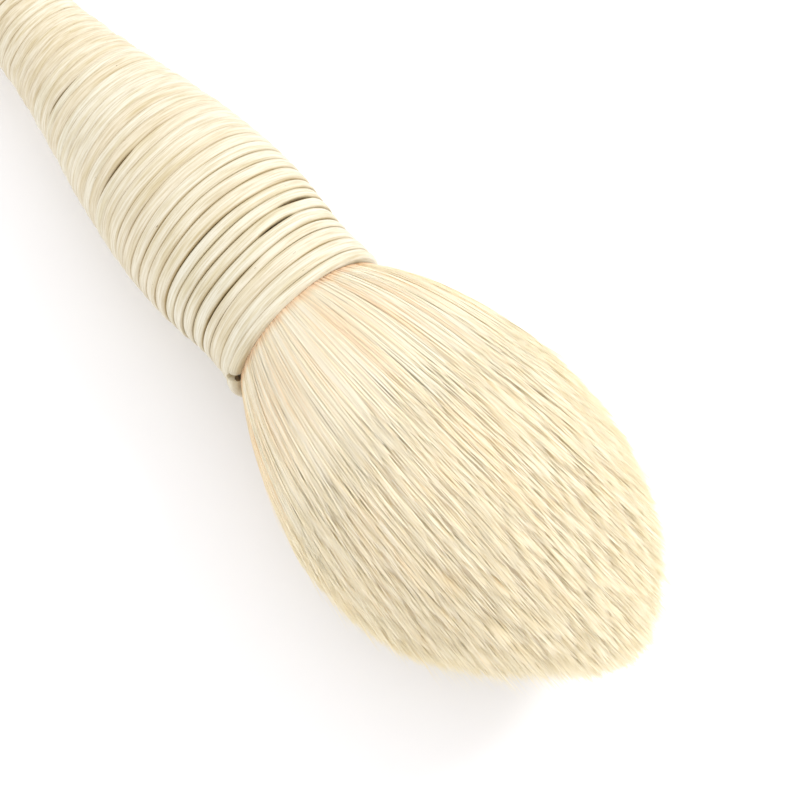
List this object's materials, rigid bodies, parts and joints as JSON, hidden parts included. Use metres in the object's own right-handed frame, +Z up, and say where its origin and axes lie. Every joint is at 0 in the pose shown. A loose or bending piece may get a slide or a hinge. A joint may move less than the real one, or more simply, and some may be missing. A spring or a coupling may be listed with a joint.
{
  "type": "rattan-bound hair brush",
  "caption": "Hand brush for ink and washes: a full blunt tuft of cream goat hair set in a swelling wooden handle wound from mouth to tail with split rattan.",
  "frame": {"origin": "on the table under the middle of the brush as it lies at rest", "axes": "+X along the brush from tail to tuft, +Z up from the table; the brush's own axis rises about 5 degrees towards the tuft"},
  "size_m": [0.1798, 0.04, 0.0391],
  "materials": {
    "goat_hair": "soft natural hair, cream, slightly glossy along the strand",
    "core_hair": "stiffer natural hair, dull cream",
    "rattan": "split rattan, peeled side out, pale straw, satin with fine fibre lines",
    "turned_wood": "raw turned wood, matte",
    "bamboo": "scraped bamboo, satin",
    "resin": "hard amber resin, glossy",
    "thread": "waxed cotton thread, matte"
  },
  "bodies": {
    "root": {"socket_cup": "turned_wood", "bamboo_rod": "bamboo", "tail_plug": "turned_wood", "hair_core": "core_hair", "hair_mantle": "goat_hair", "root_resin": "resin", "root_thread": "thread", "lip_binding": "rattan", "neck_winding": "rattan", "shoulder_winding": "rattan", "body_winding": "rattan", "waist_winding": "rattan", "stem_winding": "rattan", "tail_binding": "rattan"}
  },
  "joints": []
}
